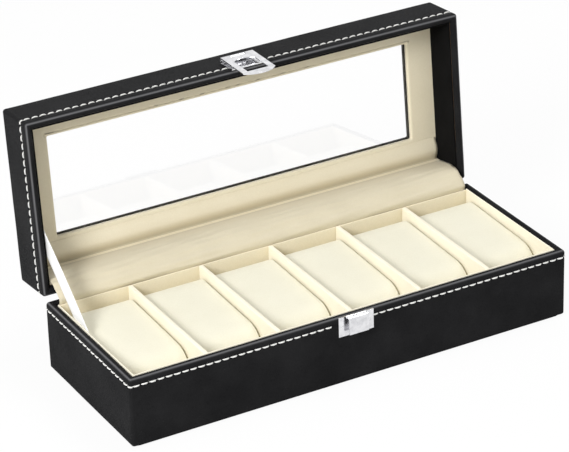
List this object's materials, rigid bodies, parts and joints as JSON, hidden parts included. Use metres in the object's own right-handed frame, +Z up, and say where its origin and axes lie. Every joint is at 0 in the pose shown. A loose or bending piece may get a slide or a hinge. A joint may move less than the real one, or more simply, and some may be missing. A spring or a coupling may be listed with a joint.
{
  "type": "watch box",
  "caption": "Leather-covered watch box with a padded rim, hinged glass-top lid, velvet-lined divided tray, lift-out pillows, ribbon stay and flap clasp.",
  "frame": {"origin": "centre of the underside of the base, on the surface it stands on", "axes": "+X to the right along the length, -Y towards the clasp at the front, +Y towards the hinges, +Z up"},
  "size_m": [0.3, 0.16, 0.1621],
  "materials": {
    "black_leather": "fine-grained synthetic leather, semi-matt",
    "black_facing": "smooth synthetic leather, matt",
    "fibreboard": "raw medium-density fibreboard",
    "foam_padding": "soft foam cord",
    "black_felt": "pressed felt",
    "beige_velvet": "short-pile velvet",
    "cream_velvet": "short-pile velvet, stuffed",
    "white_ribbon": "woven satin ribbon",
    "clear_glass": "clear polished",
    "nickel": "bright nickel plate",
    "plated_steel": "nickel-plated steel"
  },
  "bodies": {
    "base": {"base_back_panel": "fibreboard", "base_cover": "black_leather", "base_felt": "black_felt", "base_floor_panel": "fibreboard", "base_front_panel": "fibreboard", "base_hinge_screws": "plated_steel", "base_left_panel": "fibreboard", "base_right_panel": "fibreboard", "base_rim_padding": "foam_padding", "catch_nails": "nickel", "catch_plate": "nickel", "divider_1": "beige_velvet", "divider_2": "beige_velvet", "divider_3": "beige_velvet", "divider_4": "beige_velvet", "divider_5": "beige_velvet", "hinge_base_leaf_left": "plated_steel", "hinge_base_leaf_right": "plated_steel", "hinge_lining": "beige_velvet", "hinge_pin_left": "plated_steel", "hinge_pin_right": "plated_steel", "ribbon_stay": "white_ribbon", "tray_back_liner": "beige_velvet", "tray_floor_liner": "beige_velvet", "tray_front_liner": "beige_velvet", "tray_left_liner": "beige_velvet", "tray_right_liner": "beige_velvet"},
    "lid": {"hinge_lid_leaf_left": "plated_steel", "hinge_lid_leaf_right": "plated_steel", "latch_nails": "nickel", "latch_pin": "nickel", "latch_plate": "nickel", "lid_back_lining": "beige_velvet", "lid_back_panel": "fibreboard", "lid_cover": "black_leather", "lid_front_facing": "black_facing", "lid_front_panel": "fibreboard", "lid_hinge_screws": "plated_steel", "lid_left_facing": "black_facing", "lid_left_panel": "fibreboard", "lid_lining_board": "beige_velvet", "lid_right_facing": "black_facing", "lid_right_panel": "fibreboard", "lid_rim_padding": "foam_padding", "lid_top_frame": "fibreboard", "window_glass": "clear_glass"},
    "latch_flap": {"latch_flap": "nickel"},
    "pillow_1": {"pillow_1": "cream_velvet"},
    "pillow_2": {"pillow_2": "cream_velvet"},
    "pillow_3": {"pillow_3": "cream_velvet"},
    "pillow_4": {"pillow_4": "cream_velvet"},
    "pillow_5": {"pillow_5": "cream_velvet"},
    "pillow_6": {"pillow_6": "cream_velvet"}
  },
  "joints": [
    {"name": "lid_hinge", "type": "hinge", "parent": "base", "child": "lid", "pos_m": [0, 0.05716, 0.046], "axis": [1, 0, 0], "range_deg": [0, 95], "deforming": ["ribbon_stay", "hinge_lining"]},
    {"name": "flap_hinge", "type": "hinge", "parent": "lid", "child": "latch_flap", "pos_m": [0, 0.082, 0.16013], "axis": [-1, 0, 0], "range_deg": [0, 100]},
    {"name": "pillow_1_lift", "type": "slide", "parent": "base", "child": "pillow_1", "axis": [0, 0, -1], "range_m": [-0.06, 0]},
    {"name": "pillow_2_lift", "type": "slide", "parent": "base", "child": "pillow_2", "axis": [0, 0, -1], "range_m": [-0.06, 0]},
    {"name": "pillow_3_lift", "type": "slide", "parent": "base", "child": "pillow_3", "axis": [0, 0, -1], "range_m": [-0.06, 0]},
    {"name": "pillow_4_lift", "type": "slide", "parent": "base", "child": "pillow_4", "axis": [0, 0, -1], "range_m": [-0.06, 0]},
    {"name": "pillow_5_lift", "type": "slide", "parent": "base", "child": "pillow_5", "axis": [0, 0, -1], "range_m": [-0.06, 0]},
    {"name": "pillow_6_lift", "type": "slide", "parent": "base", "child": "pillow_6", "axis": [0, 0, -1], "range_m": [-0.06, 0]}
  ]
}
